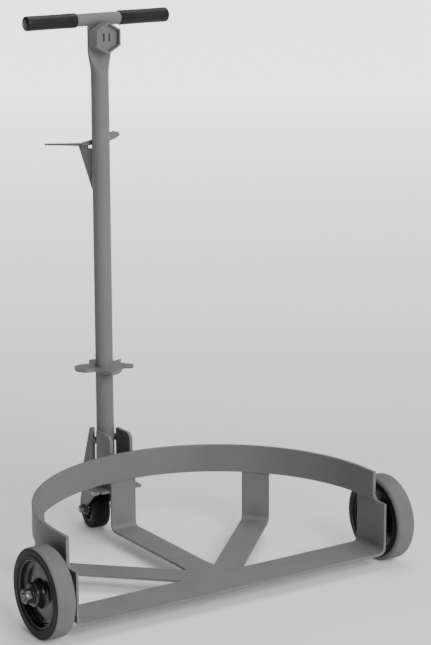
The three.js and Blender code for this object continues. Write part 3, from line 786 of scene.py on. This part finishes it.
# ---------------------------------------------------------------- handle
def post():
    """The tube, flattened front to back at its top, with the dimple that the press leaves."""
    bm = bmesh.new()
    sides = 72
    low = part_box("post_tube")[0].z / MM
    top = TBAR_Z - TBAR_R - GAP
    straight, press, pressed = low + 60, FLAT_START - 30, FLAT_END + 12
    levels = [low, low + 1.2, straight]
    levels += [mixed(straight, press, k / 12) for k in range(1, 13)]
    levels += [mixed(press, pressed, k / 40) for k in range(1, 41)]
    levels += [top - 4, top - 1.0, top]
    rings = []
    for z in levels:
        t = smoothstep(z, FLAT_START, FLAT_END)
        half_x, half_y = mixed(POST_R, FLAT_HALF, t), mixed(POST_R, FLAT_T / 2, t)
        power = mixed(1.0, 0.55, t)
        trim = 0.7 if z in (low, top) else 0.0
        ring = []
        for c, s in circle(1.0, sides):
            x = (half_x - trim) * math.copysign(abs(c) ** power, c)
            y = (half_y - trim) * math.copysign(abs(s) ** power, s)
            if s < 0:
                dent = math.exp(-((z - DIMPLE_Z) / 15) ** 2) * math.exp(-(x / 9.0) ** 2)
                y += DIMPLE_DEPTH * dent
            ring.append(bm.verts.new((x, y + POST_Y, z)))
        rings.append(ring)
    for a, b in zip(rings, rings[1:]):
        bridge(bm, a, b)
    bm.faces.new(rings[-1])
    inside = circle(POST_R - POST_WALL, sides)
    bore = [[bm.verts.new((x, POST_Y + y, z)) for x, y in inside] for z in (low, low + 46)]
    bridge(bm, rings[0], bore[0])
    bridge(bm, *bore)
    bm.faces.new(bore[1])
    add("v_post_tube", bm, PAINT, "handle", 60.0, replaces=["post_tube"])


def grip_profile():
    """A grip with a closed, rounded outer end, a slight waist and a raised inner lip."""
    bore, cap = TBAR_R + GAP, TBAR_HALF + GAP
    skin = GRIP_R - 0.1
    waist_out, waist_in = GRIP_END - 4.6, GRIP_INNER + 4.5
    shape = [(0, GRIP_END), (GRIP_R - 4.0, GRIP_END), (GRIP_R - 1.7, GRIP_END - 0.6),
             (GRIP_R - 0.5, GRIP_END - 2.0), (skin, waist_out)]
    for k in range(1, 13):
        shape.append((skin - 0.25 * math.sin(math.pi * k / 12), mixed(waist_out, waist_in, k / 12)))
    shape += [(skin, GRIP_INNER + 3.2), (GRIP_R, GRIP_INNER + 2.4), (GRIP_R - 0.2, GRIP_INNER + 0.6),
              (GRIP_R - 0.9, GRIP_INNER), (bore, GRIP_INNER), (bore, cap), (0, cap)]
    return shape


def cross_bar():
    place = Matrix.Translation((TBAR_SHIFT, POST_Y, TBAR_Z))
    half = TBAR_HALF
    profile = [(TBAR_R - 2, -half), (TBAR_R - 0.4, -half), (TBAR_R, -half + 0.5)]
    profile += [(TBAR_R, -half + (2 * half - 1) * k / 24) for k in range(1, 25)]
    profile += [(TBAR_R - 0.4, half), (TBAR_R - 2, half)]
    add("v_t_bar", lathe(profile, 72, True), PAINT, "handle", 50.0, replaces=["t_bar"], move=place)
    for side, sign in reversed(SIDES):
        turn = place if sign > 0 else place @ HALF_TURN
        add("v_grip_" + side, lathe(grip_profile(), 88), GRIP_RUBBER, "handle", 55.0,
            replaces=["grip_" + side], move=turn)


def handle_tools():
    refine("wrench_head", PAINT, 0.9, segments=3)
    refine("seal_blade", PAINT, 0.5)
    refine("blade_gusset", PAINT, 0.6)
    refine("pry_lug", PAINT, 0.8)
    refine("lug_plate", PAINT, 0.8)
    pin = [(0, -PIN_HALF), (PIN_R - 1.15, -PIN_HALF), (PIN_R, -PIN_HALF + 1.3)]
    add("v_cross_pin", lathe(mirrored(pin), 56), DARK_STEEL, "handle", 40.0, replaces=["cross_pin"],
        move=Matrix.Translation((0, POST_Y, middle("cross_pin").z / MM)))


def blade_welds():
    """Beads up both sides of the gusset and along its top, under the seal remover."""
    turn = math.radians(BLADE_TURN)
    out = Vector((-math.sin(turn), math.cos(turn), 0))
    across = Vector((math.cos(turn), math.sin(turn), 0))
    low, high = (corner.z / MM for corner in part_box("blade_gusset"))

    def beside(forward, sideways, z):
        return Vector((0, POST_Y, z)) + out * forward + across * sideways

    for name, sign in (("a", -1), ("b", 1)):
        foot = POST_R - 0.2
        bead("gusset_" + name, [beside(foot, sign * 2.6, low + 2), beside(foot, sign * 2.6, high - 9)],
             1.5, "handle")
        line = [beside(27, sign * 2.4, high - 0.6), beside(43, sign * 2.4, high - 1.8)]
        bead("blade_" + name, line, 0.8, "handle")


def handle_welds():
    for name, z in (("top", LUG_TOP), ("bottom", LUG_TOP - LUG_T)):
        bead("lug_" + name, arc(POST_Y, POST_R + 0.3, 0, 357, z, 60), 1.5, "handle")
    blade_welds()
    for name, sign, z in (("left", -1, 722), ("right", 1, 731)):
        line = [(sign * 9, POST_Y + POST_R - 2.2, z), (sign * 3, POST_Y + POST_R + 0.2, z + 3)]
        bead("pry_" + name, line, 1.2, "handle")
    seam_z = TBAR_Z - TBAR_R + 1.0
    for name, sign in (("front", -1), ("back", 1)):
        y = POST_Y + sign * (FLAT_T / 2 + 1.2)
        line = [(mixed(-22, 22, k / 12), y, seam_z) for k in range(13)]
        bead("bar_" + name, line, 1.8, "handle")
    head_weld()


def head_weld():
    """A bead along the wrench head's lower left flat, from its bottom corner."""
    corner = HEAD_AF / math.sqrt(3)
    line = []
    for angle in (180, 240):
        a = math.radians(angle)
        line.append((corner * math.sin(a), POST_Y - FLAT_T / 2 - 0.6, HEAD_Z + corner * math.cos(a)))
    bead("head", line, 1.4, "handle")


def spigot():
    """The hidden spigot keeps its CAD shape and takes the frame's paint."""
    materials = NODES["handle_spigot"].data.materials
    materials.clear()
    materials.append(PAINT)


# ---------------------------------------------------------------- floor, light and camera
def floor():
    """A white floor that glows more and more towards the back, away from the camera."""
    bm = bmesh.new()
    size = FLOOR_HALF
    corners = ((-size, -size, 0), (size, -size, 0), (size, size, 0), (-size, size, 0))
    bm.faces.new([bm.verts.new(v) for v in corners])
    mesh = bpy.data.meshes.new("floor")
    bm.to_mesh(mesh)
    bm.free()
    obj = bpy.data.objects.new("floor", mesh)
    bpy.context.scene.collection.objects.link(obj)
    g = Graph("floor_white")
    g.set(Base_Color=g.mix(g.noise(1.2, 2.0), 0.84, 0.88), Roughness=0.9, Specular_IOR_Level=0.1)
    split = g.node("ShaderNodeSeparateXYZ")
    g.link(g.where, split.inputs[0])
    far = g.math("ADD", g.math("MULTIPLY", split.outputs["X"], 0.5),
                 g.math("MULTIPLY", split.outputs["Y"], 0.85))
    glow = g.math("ADD", g.remap(far, 0.6, 6.0, 0.0, BACK_GLOW), FLOOR_GLOW)
    g.set(Emission_Color=grey(1.0), Emission_Strength=glow)
    mesh.materials.append(g.material)


def world_light():
    """Soft light that is brightest towards WORLD_BRIGHT and fades to WORLD_LOW on the far side."""
    world = bpy.data.worlds.new("studio")
    bpy.context.scene.world = world
    world.use_nodes = True
    tree = world.node_tree
    tree.nodes.clear()
    surface = tree.nodes.new("ShaderNodeOutputWorld")
    back = tree.nodes.new("ShaderNodeBackground")
    coord = tree.nodes.new("ShaderNodeTexCoord")
    dot = tree.nodes.new("ShaderNodeVectorMath")
    dot.operation = "DOT_PRODUCT"
    dot.inputs[1].default_value = Vector(WORLD_BRIGHT).normalized()
    ramp = tree.nodes.new("ShaderNodeMapRange")
    ramp.interpolation_type = "SMOOTHSTEP"
    ends = (("From Min", -0.25), ("From Max", 0.75), ("To Min", WORLD_LOW), ("To Max", WORLD_HIGH))
    for key, number in ends:
        ramp.inputs[key].default_value = number
    tree.links.new(coord.outputs["Generated"], dot.inputs[0])
    tree.links.new(dot.outputs["Value"], ramp.inputs["Value"])
    tree.links.new(ramp.outputs["Result"], back.inputs["Strength"])
    tree.links.new(back.outputs[0], surface.inputs[0])


def area_light(name, place, aim, width, power):
    light = bpy.data.lights.new(name, "AREA")
    light.shape = "SQUARE"
    light.size = width
    light.energy = power
    obj = bpy.data.objects.new(name, light)
    obj.location = place
    obj.rotation_euler = (Vector(aim) - Vector(place)).to_track_quat("-Z", "Y").to_euler()
    bpy.context.scene.collection.objects.link(obj)


def camera():
    """The pinhole camera that was fitted to the photograph."""
    azimuth, down, roll = (math.radians(v) for v in (AZIMUTH, DOWN, ROLL))
    look = Vector((math.sin(azimuth) * math.cos(down), math.cos(azimuth) * math.cos(down),
                   -math.sin(down)))
    right = Vector((math.cos(azimuth), -math.sin(azimuth), 0))
    up = right.cross(look)
    right, up = (right * math.cos(roll) + up * math.sin(roll),
                 up * math.cos(roll) - right * math.sin(roll))
    data = bpy.data.cameras.new("camera")
    data.lens = LENS
    data.sensor_width = SENSOR
    data.clip_end = 60
    obj = bpy.data.objects.new("camera", data)
    basis = Matrix((right, up, -look)).transposed().to_4x4()
    obj.matrix_world = Matrix.Translation(Vector(in_ring(*CAMERA_PLACE)) * MM) @ basis
    bpy.context.scene.collection.objects.link(obj)
    bpy.context.scene.camera = obj


# ---------------------------------------------------------------- making
frame_plates()
frame_welds()
base_seams()
socket_welds()
main_wheels()
caster_mount()
caster_wheel()
post()
cross_bar()
handle_tools()
handle_welds()
spigot()
floor()
world_light()
for lamp in LIGHTS:
    area_light(*lamp)
camera()
